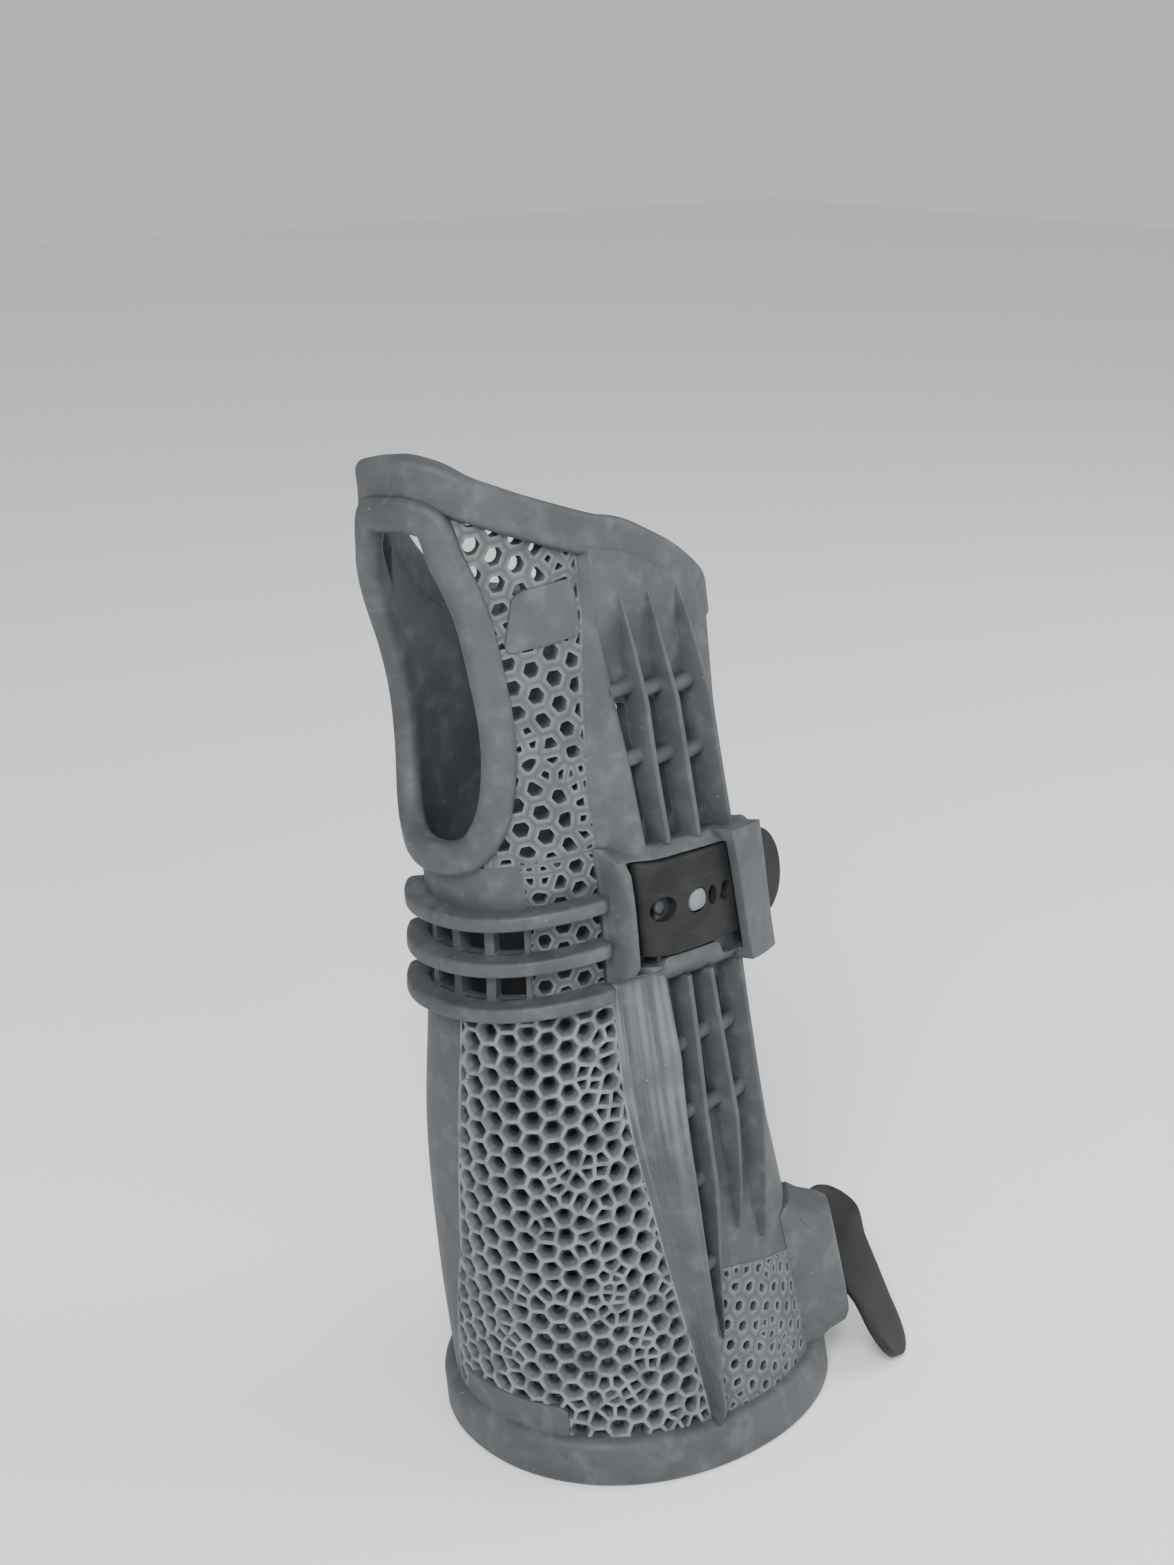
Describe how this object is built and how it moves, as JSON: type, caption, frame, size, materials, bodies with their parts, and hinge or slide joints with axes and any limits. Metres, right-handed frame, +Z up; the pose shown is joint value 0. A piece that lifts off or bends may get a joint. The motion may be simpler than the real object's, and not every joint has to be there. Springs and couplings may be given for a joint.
{
  "type": "wrist brace",
  "caption": "Printed wrist and forearm brace for the right hand, with a honeycomb shell, thumb hole, ribbed back and strap stations.",
  "frame": {"origin": "middle of the bounding box at its bottom, on the plane that the cuff rim stands on", "axes": "+Z up from the cuff to the fingers, -Y to the back of the hand, -X to the thumb; the sleeve leans 8 degrees to the thumb side"},
  "size_m": [0.1286, 0.0862, 0.2415],
  "materials": {
    "printed": "satin",
    "strap": "matte",
    "peg": "satin"
  },
  "bodies": {
    "root": {"cuff_rim": "printed", "hand_rim": "printed", "thumb_rim": "printed", "forearm_mesh_panel": "printed", "forearm_spine": "printed", "forearm_channel_floor": "printed", "forearm_ribs": "printed", "wrist_vent_panel": "printed", "collar_fin_1": "printed", "collar_fin_2": "printed", "collar_fin_3": "printed", "hand_mesh_panel": "printed", "hand_spine": "printed", "hand_channel_floor": "printed", "hand_ribs": "printed", "ulnar_forearm_panel": "printed", "ulnar_hand_panel": "printed", "volar_forearm_panel": "printed", "palm_panel": "printed", "wrist_station": "printed", "wrist_keeper": "printed", "wrist_strap": "strap", "cuff_station": "printed", "cuff_keeper": "printed", "cuff_strap": "strap", "wrist_peg": "peg"}
  },
  "joints": []
}
